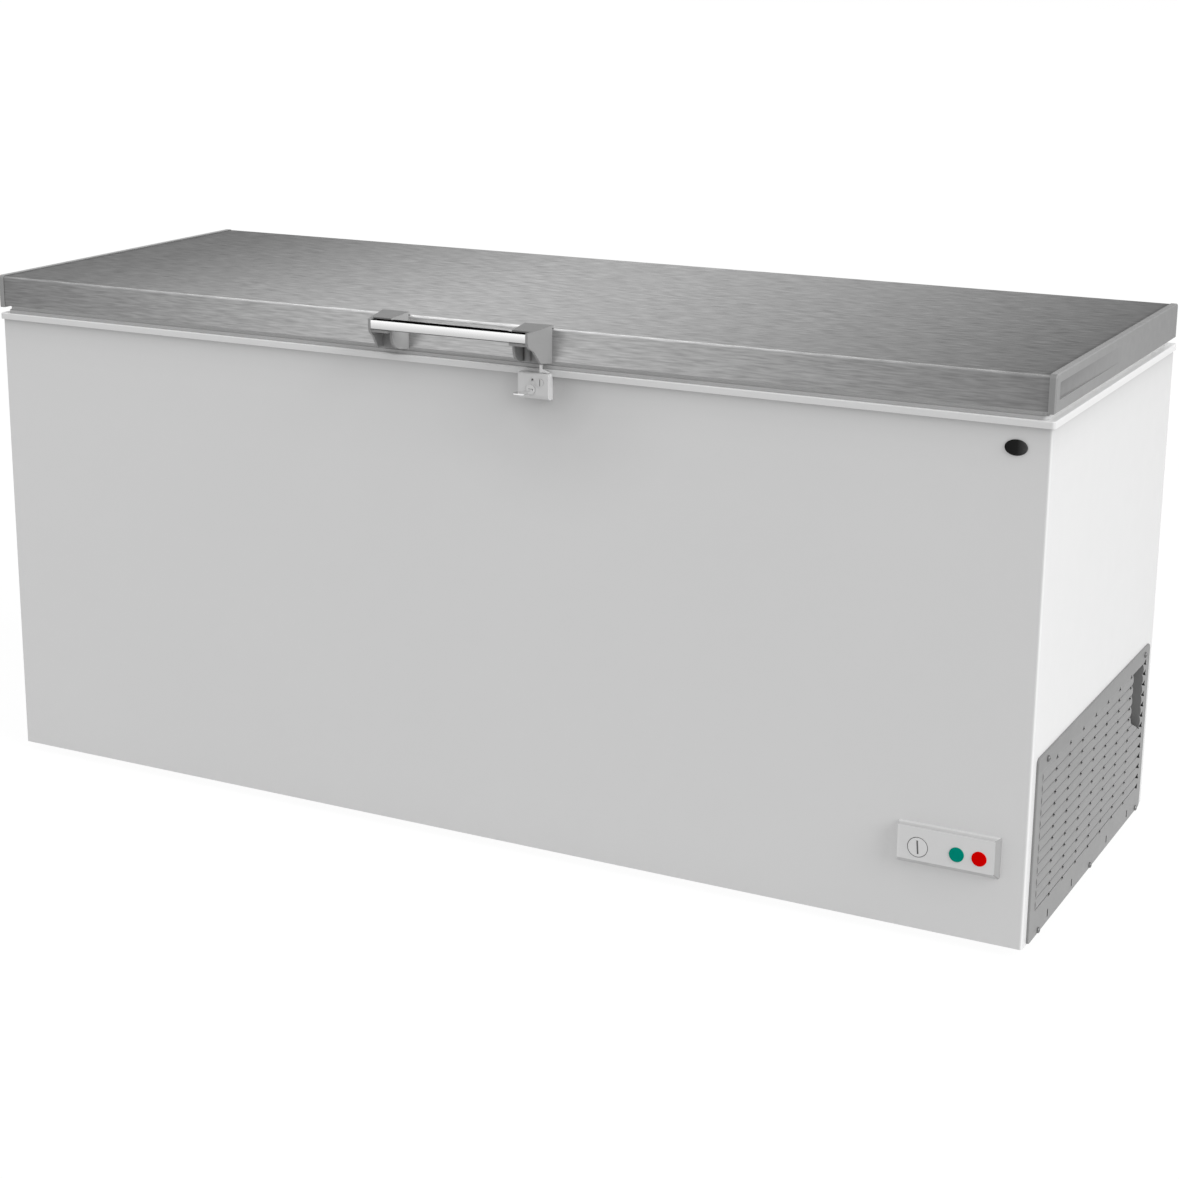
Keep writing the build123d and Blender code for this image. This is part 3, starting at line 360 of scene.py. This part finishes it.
# Painted sheet
def enamel_skin(name, value):
    """Material with the fine orange peel of a powder coat, and its faintly mottled colour."""
    mat = material(name, grey(value), 0.42, Specular_IOR_Level=0.4)
    roughen(mat, even_grain(mat, 30), 0.38, 0.46)
    bump(mat, even_grain(mat, 420), 0.00002)
    return mat, mottle(mat, even_grain(mat, 2.5), grey(value * 0.99), grey(value))


def enamel(name, value):
    """Powder-coated sheet."""
    mat, base = enamel_skin(name, value)
    drive(mat, "Base Color", base)
    return mat


def painted_shade_by_lock(mat, depth):
    """Painted soft shade round the right-hand edge of the lock."""
    away = share(mat, off_axis(mat, LOCK_SIDE), LOCK_SHADE_REACH)
    return tones(mat, away, [(at, 1.0 - depth * (1.0 - level)) for at, level in SHADE_ROUND_LOCK])


def shell_enamel(name, value):
    """Cabinet sheet with painted shade under the frame, by the lock and towards the back, and a painted
    highlight along its corner.
    """
    mat, base = enamel_skin(name, value)
    under = tones(mat, share(mat, place(mat, "Z"), SHADE_BELOW_FRAME_Z), SHADE_BELOW_FRAME)
    back = tones(mat, share(mat, place(mat, "Y"), SHELL_Y), SHADE_TO_BACK)
    corner = scaled(mat, within(mat, facing(mat, "X"), (0.55, 0.88), 0.1), 1.14)
    drive(mat, "Base Color", times(mat, base, corner, painted_shade_by_lock(mat, 1.0), under, back))
    return mat


# Moulded plastic and rubber
def moulded_skin(mat, dark, light, roughness):
    """Fine spark-eroded texture of moulded plastic; returns its colour."""
    roughen(mat, even_grain(mat, 60), roughness - 0.02, roughness + 0.02)
    bump(mat, even_grain(mat, 900), 0.00002)
    return mottle(mat, even_grain(mat, 14, 4.0), dark, light)


def moulding(name, dark, light, roughness=0.5, specular=0.4):
    """Moulded plastic."""
    mat = material(name, light, roughness, Specular_IOR_Level=specular)
    drive(mat, "Base Color", moulded_skin(mat, dark, light, roughness))
    return mat


def grey_moulding(name, value, roughness, mottling, specular=0.4):
    """Grey moulded material, and its colour for tones by place."""
    mat = material(name, grey(value), roughness, Specular_IOR_Level=specular)
    dark, light = mottling
    return mat, moulded_skin(mat, grey(value * dark), grey(value * light), roughness)


def rim_plastic(name, value):
    """White frame moulding with painted light on its top and painted shade by the lock."""
    mat, base = grey_moulding(name, value, 0.35, (0.99, 1.01))
    top = spread(mat, facing(mat, "Z"), (1.0, 1.2), (0.6, 0.95))
    drive(mat, "Base Color", times(mat, base, top, painted_shade_by_lock(mat, 0.6)))
    return mat


def hook_plastic(name, value):
    """White finger of the lock, with painted shade below the frame and painted light above it."""
    mat, base = grey_moulding(name, value, 0.35, (0.99, 1.01))
    drive(mat, "Base Color", times(mat, base, spread(mat, place(mat, "Z"), (0.77, 1.05), HOOK_SHADE_Z)))
    return mat


def seal_rubber(name, value):
    """Grey lid seal with painted light on the side that faces right, most at its foot."""
    mat, base = grey_moulding(name, value, 0.6, (0.97, 1.03))
    side = share(mat, facing(mat, "X"), (0.4, 0.8))
    foot = spread(mat, place(mat, "Z"), (0.6, 0.2), SEAL_LIGHT_Z)
    drive(mat, "Base Color", times(mat, base, scaled(mat, product(mat, side, foot), 2.0)))
    return mat


def cap_plastic(name, value):
    """Grey end cap with painted light on its front, its edges and the sill of its dish, and painted shade
    in the deep end of its dish and towards the back.
    """
    mat, base = grey_moulding(name, value, 0.4, (0.99, 1.01))
    deep = spread(mat, place(mat, "X"), (1.0, 0.0), DISH_X)
    high = spread(mat, place(mat, "Z"), (0.45, 1.0), DISH_Z)
    dish = product(mat, deep, high, within(mat, place(mat, "Y"), DISH_Y, 0.0005),
                   within(mat, place(mat, "Z"), DISH_Z, 0.0002))
    sill = product(mat, within(mat, place(mat, "Z"), (DISH_SILL, DISH_SILL), 0.0003),
                   share(mat, facing(mat, "Z"), (0.4, 0.8)))
    edge = within(mat, facing(mat, "X"), (0.4, 0.85), 0.15)
    back = spread(mat, place(mat, "Y"), (1.0, 0.74), LID_SHADE_Y)
    front = spread(mat, facing(mat, "Y"), (1.28, 1.0), (-0.95, -0.6))
    # Painted light on the edges, the sill of the dish and the front
    lights = product(mat, scaled(mat, edge, 1.25), scaled(mat, sill, 1.5), front)
    drive(mat, "Base Color", times(mat, base, scaled(mat, dish, 0.5), back, lights))
    return mat


def bracket_plastic(name, value, cheek):
    """Grey handle bracket with painted shade on top, and its own level of painted light on the cheek that
    faces right.
    """
    mat, base = grey_moulding(name, value, 0.45, (0.985, 1.015), 0.2)
    top = spread(mat, facing(mat, "Z"), (1.0, 0.64), (0.6, 0.95))
    side = spread(mat, facing(mat, "X"), (1.0, cheek), (0.4, 0.8))
    drive(mat, "Base Color", times(mat, base, top, side))
    return mat


def dial_line(mat):
    """Fine grey line round the dial."""
    return scaled(mat, within(mat, off_axis(mat, DIAL_AT), DIAL_LINE, 0.0003), 0.5)


def panel_skin(name, value):
    """White panel moulding with painted shade on its sloping edges, so that they read greyer than its face,
    and a painted highlight along its left edge.
    """
    mat, base = grey_moulding(name, value, 0.4, (0.99, 1.0))
    right = spread(mat, facing(mat, "X"), (1.0, 0.5), (0.2, 0.6))
    bevel = tones(mat, share(mat, place(mat, "Y"), PANEL_SLOPE_Y), PANEL_SLOPE_SHADE)
    upper = blend(mat, share(mat, facing(mat, "Z"), (0.3, 0.8)), bevel)
    lower = spread(mat, facing(mat, "Z"), (1.0, 0.76), (-0.2, -0.6))
    rail = spread(mat, place(mat, "X"), (1.0, 0.94), PANEL_LIT_EDGE_X)
    drive(mat, "Base Color", times(mat, base, right, upper, lower, rail, dial_line(mat)))
    return mat


def slotted_skin(name, value, face, dark):
    """Pale material with painted shade in its slot and rim just behind its face, and its colour."""
    mat, base = grey_moulding(name, value, 0.4, (0.98, 1.0))
    slot = spread(mat, place(mat, "Y"), (1.0, dark), (face, face + SLOT_DEPTH))
    return mat, times(mat, base, slot)


def dial_plastic(name, value):
    """Coin-slot dial with painted shade in its slot, and a fine line round it."""
    mat, base = slotted_skin(name, value, DIAL_FACE, 0.42)
    drive(mat, "Base Color", times(mat, base, dial_line(mat)))
    return mat


def key_plug(name, value):
    """Plug of the lock with painted shade in its key slot."""
    mat, base = slotted_skin(name, value, LOCK_FACE, 0.25)
    drive(mat, "Base Color", base)
    return mat


def lock_screw(name, value):
    """Screw heads of the lock with painted shade in their slots; the small one has the painted shade of a
    recess above its middle.
    """
    mat, base = slotted_skin(name, value, LOCK_FACE, 0.05)
    recess = spread(mat, off_axis(mat, RECESS_SHADE_AT), (0.06, 1.0), RECESS_SHADE_EDGE)
    drive(mat, "Base Color", times(mat, base, recess))
    return mat


def grille_skin(name, value):
    """Grey vent moulding with painted shade: dark on the hole walls that face the front, a little darker
    towards its top and along its top border.
    """
    mat, base = grey_moulding(name, value, 0.5, (0.98, 1.02))
    wall = spread(mat, facing(mat, "Y"), (1.0, 0.0), (-0.6, -0.3))
    ahead = within(mat, place(mat, "Y"), HOLES_Y, 0.0005)
    end = within(mat, place(mat, "Y"), END_HOLES_Y, 0.0005)
    hole = product(mat, wall, calculate(mat.node_tree, "MAXIMUM", ahead, end),
                   within(mat, place(mat, "X"), HOLES_X, 0.0003),
                   within(mat, place(mat, "Z"), HOLES_Z, 0.0005))
    upper = spread(mat, place(mat, "Z"), (1.0, 0.95), GRILLE_SHADE_Z)
    border = spread(mat, place(mat, "Z"), (1.0, 0.92), GRILLE_BORDER_SHADE_Z)
    drive(mat, "Base Color", times(mat, base, scaled(mat, hole, 0.14), upper, border))
    return mat


def badge_gloss(name):
    """Glossy black badge with a painted sheen that makes it a little lighter towards its right-hand end."""
    mat = material(name, grey(0.01), 0.25, Specular_IOR_Level=0.12)
    base = tones(mat, share(mat, place(mat, "X"), BADGE_SHEEN_X), BADGE_SHEEN)
    marks = mottle(mat, even_grain(mat, 300), grey(0.85), grey(1.0))
    drive(mat, "Base Color", times(mat, base, marks))
    bump(mat, even_grain(mat, 900), 0.00001)
    return mat


def lens(name, dark, light):
    """Coloured lamp lens with a faint moulded swirl."""
    mat = material(name, light, 0.5, Specular_IOR_Level=0.0)
    drive(mat, "Base Color", mottle(mat, even_grain(mat, 130), dark, light))
    bump(mat, even_grain(mat, 300), 0.00003)
    return mat


def foam(name):
    """Rigid yellow foam with a pitted skin."""
    mat = material(name, (0.78, 0.66, 0.36), 0.9)
    pits = even_grain(mat, 90, 4.0)
    drive(mat, "Base Color", mottle(mat, pits, (0.7, 0.56, 0.28), (0.82, 0.72, 0.44)))
    bump(mat, even_grain(mat, 260, 4.0), 0.0006)
    return mat


# Metal
def brushed_steel(name):
    """Steel sheet brushed along x, with a painted reflection that is lighter in the middle of the lid and
    darker towards its back, painted highlights behind the grip and on its bends, and painted shade at the
    ends of the sheet.
    """
    mat = material(name, grey(0.4), 0.34, 1.0)
    along = share(mat, place(mat, "X"), (-SHELL_SIDE, SHELL_SIDE))
    # Painted shade towards the back of the lid
    back = spread(mat, place(mat, "Y"), (1.02, 0.86), LID_SHADE_Y)
    bend = within(mat, facing(mat, "Z"), (0.3, 0.75), 0.2)
    grip = product(mat, within(mat, place(mat, "X"), (-GRIP_X, GRIP_X), 0.001),
                   within(mat, place(mat, "Y"), GRIP_Y, 0.0005), share(mat, place(mat, "Z"), GRIP_Z),
                   spread(mat, facing(mat, "Z"), (1.0, 0.2), (0.1, 0.5)))
    # Painted shade at the ends of the sheet, carried along with the brush streaks
    end = spread(mat, place(mat, "X"), (1.0, 0.8), SHEET_END_SHADE_X)
    brush_marks_and_end_shade = product(mat, spread(mat, grain(mat, (30, 250, 400), 6.0), (0.80, 1.19)), end)
    # Painted highlights on the bends and behind the grip
    painted_highlights = product(mat, scaled(mat, bend, 1.4), scaled(mat, grip, 1.45))
    drive(mat, "Base Color", times(mat, tones(mat, along, LID_REFLECTION), back, painted_highlights, brush_marks_and_end_shade))
    # Painted reflection in the edge tint as well, lighter in the middle of the lid
    drive(mat, "Specular Tint", times(mat, tones(mat, along, LID_REFLECTION_TINT), brush_marks_and_end_shade))
    roughen(mat, grain(mat, (24, 700, 700), 3.0), 0.28, 0.42)
    bump(mat, grain(mat, (18, 900, 900), 2.0), 0.00003)
    return mat


def bar_metal(name):
    """Polished bar with a painted reflection that brightens from its lower edge to its upper one."""
    mat = material(name, grey(0.7), 0.16, 1.0)
    base = tones(mat, share(mat, place(mat, "Z"), BAR_Z), BAR_REFLECTION)
    marks = mottle(mat, grain(mat, (6, 300, 300), 3.0), grey(0.97), grey(1.0))
    drive(mat, "Base Color", times(mat, base, marks))
    roughen(mat, even_grain(mat, 120, 3.0), 0.14, 0.2)
    return mat


def plated(name, dark, light, roughness):
    """Plated or drawn metal with faint handling marks."""
    mat = material(name, light, roughness, 1.0)
    drive(mat, "Base Color", mottle(mat, even_grain(mat, 40, 3.0), dark, light))
    roughen(mat, even_grain(mat, 120, 3.0), roughness * 0.8, roughness * 1.3)
    return mat


def zinc(name):
    """Galvanised sheet with a faint crystal pattern."""
    mat = material(name, grey(0.5), 0.42, 1.0)
    crystals = spangle(mat, 85.0)
    clouds = spread(mat, even_grain(mat, 5), (0.96, 1.04))
    drive(mat, "Base Color", product(mat, spread(mat, crystals, (0.465, 0.55), WHOLE), clouds))
    roughen(mat, crystals, 0.36, 0.48)
    return mat


def embossed_aluminium(name):
    """Aluminium tub sheet with a pebbled emboss."""
    mat = material(name, grey(0.8), 0.38, 0.9)
    drive(mat, "Base Color", mottle(mat, even_grain(mat, 6), grey(0.74), grey(0.84)))
    roughen(mat, even_grain(mat, 50), 0.32, 0.46)
    bump(mat, even_grain(mat, 170, 1.0), 0.0003)
    return mat


# Finish of each material slot, and of the pieces that have one of their own
finishes = {
    "white_paint": enamel("white_paint", 0.80),
    "lock_white": enamel("lock_white", 0.70),
    "zinc_sheet": zinc("zinc_sheet"),
    "black_rubber": moulding("black_rubber", grey(0.002), grey(0.004), 0.8, 0.0),
    "black_plastic": moulding("black_plastic", grey(0.02), grey(0.035), 0.5),
    "liner_aluminium": embossed_aluminium("liner_aluminium"),
    "foam": foam("foam"),
    "white_plastic": moulding("white_plastic", grey(0.79), grey(0.81), 0.35),
    "copper_tube": plated("copper_tube", (0.5, 0.22, 0.12), (0.72, 0.36, 0.22), 0.35),
    "black_paint": enamel("black_paint", 0.02),
    "grey_grille": grille_skin("grey_grille", 0.28),
    "screw_steel": plated("screw_steel", grey(0.30), grey(0.42), 0.3),
    "panel_plastic": panel_skin("panel_plastic", 0.845),
    "green_lens": lens("green_lens", (0.0, 0.27, 0.20), (0.0, 0.30, 0.22)),
    "red_lens": lens("red_lens", (0.74, 0.0, 0.0), (0.80, 0.0, 0.0)),
    "badge_black": badge_gloss("badge_black"),
    "key_steel": plated("key_steel", grey(0.8), grey(0.92), 0.12),
    "brushed_lid": brushed_steel("brushed_lid"),
    "grey_plastic": moulding("grey_plastic", grey(0.305), grey(0.315), 0.45),
    "gasket_grey": seal_rubber("gasket_grey", 0.515),
    "bar_chrome": bar_metal("bar_chrome"),
    "hinge_steel": plated("hinge_steel", grey(0.45), grey(0.6), 0.32),
}
special = {
    "cabinet_wrap": shell_enamel("shell_paint", 0.80),
    # The two end caps are one grey plastic: the right one is set darker and the left one lighter, as
    # painted shade and painted light
    "lid_end_cap_right": cap_plastic("cap_plastic", 0.236),
    "lid_end_cap_left": moulding("cap_painted_light", grey(0.321), grey(0.329), 0.4),
    "thermostat_knob": dial_plastic("dial_plastic", 0.82),
    "grille_screws": plated("screw_dark", grey(0.15), grey(0.22), 0.35),
    "lock_screws": lock_screw("screw_pale", 0.70),
    "lock_plug": key_plug("plug_pale", 0.74),
    # The brackets are one moulding; the left one's lighter cheek is painted light
    "handle_bracket_left": bracket_plastic("bracket_left", 0.325, 1.18),
    "handle_bracket_right": bracket_plastic("bracket_right", 0.325, 1.0),
    "lock_hook": hook_plastic("hook_white", 0.89),
    "top_rim": rim_plastic("rim_plastic", 0.80),
}


def wear(piece, finish):
    """Give one piece a single finish."""
    piece.data.materials.clear()
    piece.data.materials.append(finish)


for entry in frame["record"]["subparts"]:
    wear(nodes[entry["node"]], finishes[entry["material_slot"]])
for name, finish in special.items():
    wear(nodes[name], finish)


def add(name, data):
    """Object in the scene that holds the data."""
    holder = bpy.data.objects.new(name, data)
    bpy.context.collection.objects.link(holder)
    return holder


# Rubber strip of the handle
def strip_outline(x, box, crown):
    """Outline of the strip at one place along the bar: square below, domed by crown above."""
    low, high = box
    centre = (low[1] + high[1]) / 2
    half = (high[1] - low[1]) / 2
    angles = [radians(180 * step / DOME_STEPS) for step in range(DOME_STEPS + 1)]
    dome = [(x, centre - half * cos(angle), high[2] + crown * sin(angle)) for angle in angles]
    return [(x, high[1], low[2]), (x, low[1], low[2])] + dome


def rubber_strip():
    """Strip along the top of the bar, domed between the brackets, in place of its plain solid."""
    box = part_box("handle_insert")
    end = box[1][0]
    domed = GRIP_X - CROWN
    stations = [(-end, 0.0), (-GRIP_X, 0.0), (-domed, CROWN), (domed, CROWN), (GRIP_X, 0.0), (end, 0.0)]
    loops = [strip_outline(x, box, crown) for x, crown in stations]
    count = len(loops[0])
    last = count * (len(loops) - 1)
    faces = [tuple(reversed(range(count))), tuple(range(last, last + count))]
    for first in range(0, last, count):
        for corner in range(count):
            after = (corner + 1) % count
            faces.append((first + corner, first + after, first + count + after, first + count + corner))
    mesh = bpy.data.meshes.new("rubber_strip")
    mesh.from_pydata([point for loop in loops for point in loop], [], faces)
    mesh.materials.append(finishes["black_rubber"])
    strip = add("rubber_strip", mesh)
    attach(strip, "lid")
    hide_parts("handle_insert")


rubber_strip()


# Stage
def plain_shader(tree, kind, **sockets):
    """Output of a new shader with even values."""
    node = tree.nodes.new(kind)
    for socket, value in sockets.items():
        node.inputs[socket].default_value = value
    return node.outputs[0]


def camera_sees(tree):
    """1 where the camera, a mirror or glass looks straight at the background."""
    rays = tree.nodes.new("ShaderNodeLightPath").outputs
    seen = calculate(tree, "MAXIMUM", rays["Is Camera Ray"], rays["Is Glossy Ray"])
    return calculate(tree, "MAXIMUM", seen, rays["Is Transmission Ray"])


def show(tree, lit, seen, output):
    """Let the object be lit by one shader, while the camera, mirrors and glass see the other."""
    mix = tree.nodes.new("ShaderNodeMixShader")
    tree.links.new(camera_sees(tree), mix.inputs["Fac"])
    tree.links.new(lit, mix.inputs[1])
    tree.links.new(seen, mix.inputs[2])
    tree.links.new(mix.outputs[0], tree.nodes.new(output).inputs["Surface"])


def white_world():
    """White background with an even, softer light on the object."""
    world = bpy.data.worlds.new("studio")
    bpy.context.scene.world = world
    world.use_nodes = True
    tree = world.node_tree
    tree.nodes.clear()
    lit = plain_shader(tree, "ShaderNodeBackground", Color=WHITE, Strength=AMBIENT)
    seen = plain_shader(tree, "ShaderNodeBackground", Color=WHITE, Strength=1.0)
    show(tree, lit, seen, "ShaderNodeOutputWorld")


def floor_finish():
    """White floor that still shows a soft shadow."""
    mat = bpy.data.materials.new("floor")
    mat.use_nodes = True
    tree = mat.node_tree
    tree.nodes.clear()
    lit = plain_shader(tree, "ShaderNodeBsdfDiffuse", Color=(*grey(FLOOR_BOUNCE), 1.0))
    faint = plain_shader(tree, "ShaderNodeBsdfDiffuse", Color=(*grey(FLOOR_SHADE), 1.0))
    glow = plain_shader(tree, "ShaderNodeEmission", Strength=FLOOR_GLOW)
    seen = tree.nodes.new("ShaderNodeAddShader")
    tree.links.new(faint, seen.inputs[0])
    tree.links.new(glow, seen.inputs[1])
    show(tree, lit, seen.outputs[0], "ShaderNodeOutputMaterial")
    return mat


def floor():
    """Wide flat floor under the feet."""
    half = FLOOR_SIZE / 2
    corners = [(-half, -half, 0), (half, -half, 0), (half, half, 0), (-half, half, 0)]
    mesh = bpy.data.meshes.new("floor")
    mesh.from_pydata(corners, [], [(0, 1, 2, 3)])
    mesh.materials.append(floor_finish())
    add("floor", mesh)


def aim(holder, direction):
    """Turn a lamp so that it shines in one direction."""
    holder.rotation_euler = direction.to_track_quat("-Z", "Y").to_euler()


def sun():
    """Broad main light from the front right."""
    lamp = bpy.data.lights.new("sun", "SUN")
    lamp.energy = SUN_STRENGTH
    lamp.angle = radians(SUN_ANGLE)
    azimuth = radians(SUN_AZIMUTH)
    height = radians(SUN_HEIGHT)
    towards = Vector((cos(height) * cos(azimuth), -cos(height) * sin(azimuth), sin(height)))
    aim(add("sun", lamp), -towards)


def bend_light():
    """Long lamp over the front that puts a bright line on the bend of the lid."""
    lamp = bpy.data.lights.new("bend_light", "AREA")
    lamp.shape = "RECTANGLE"
    lamp.size, lamp.size_y = BEND_LIGHT_SIZE
    lamp.energy = BEND_LIGHT_POWER
    holder = add("bend_light", lamp)
    holder.location = BEND_LIGHT_AT
    aim(holder, Vector(BEND_LIGHT_AIM) - Vector(BEND_LIGHT_AT))


def camera():
    """Camera at the photograph's place."""
    data = bpy.data.cameras.new("camera")
    data.lens = CAMERA_LENS
    data.shift_x, data.shift_y = CAMERA_SHIFT
    holder = add("camera", data)
    holder.location = CAMERA_AT
    holder.rotation_euler = [radians(angle) for angle in CAMERA_TURN]
    bpy.context.scene.camera = holder


white_world()
floor()
sun()
bend_light()
camera()
bpy.context.scene.view_settings.view_transform = "Standard"
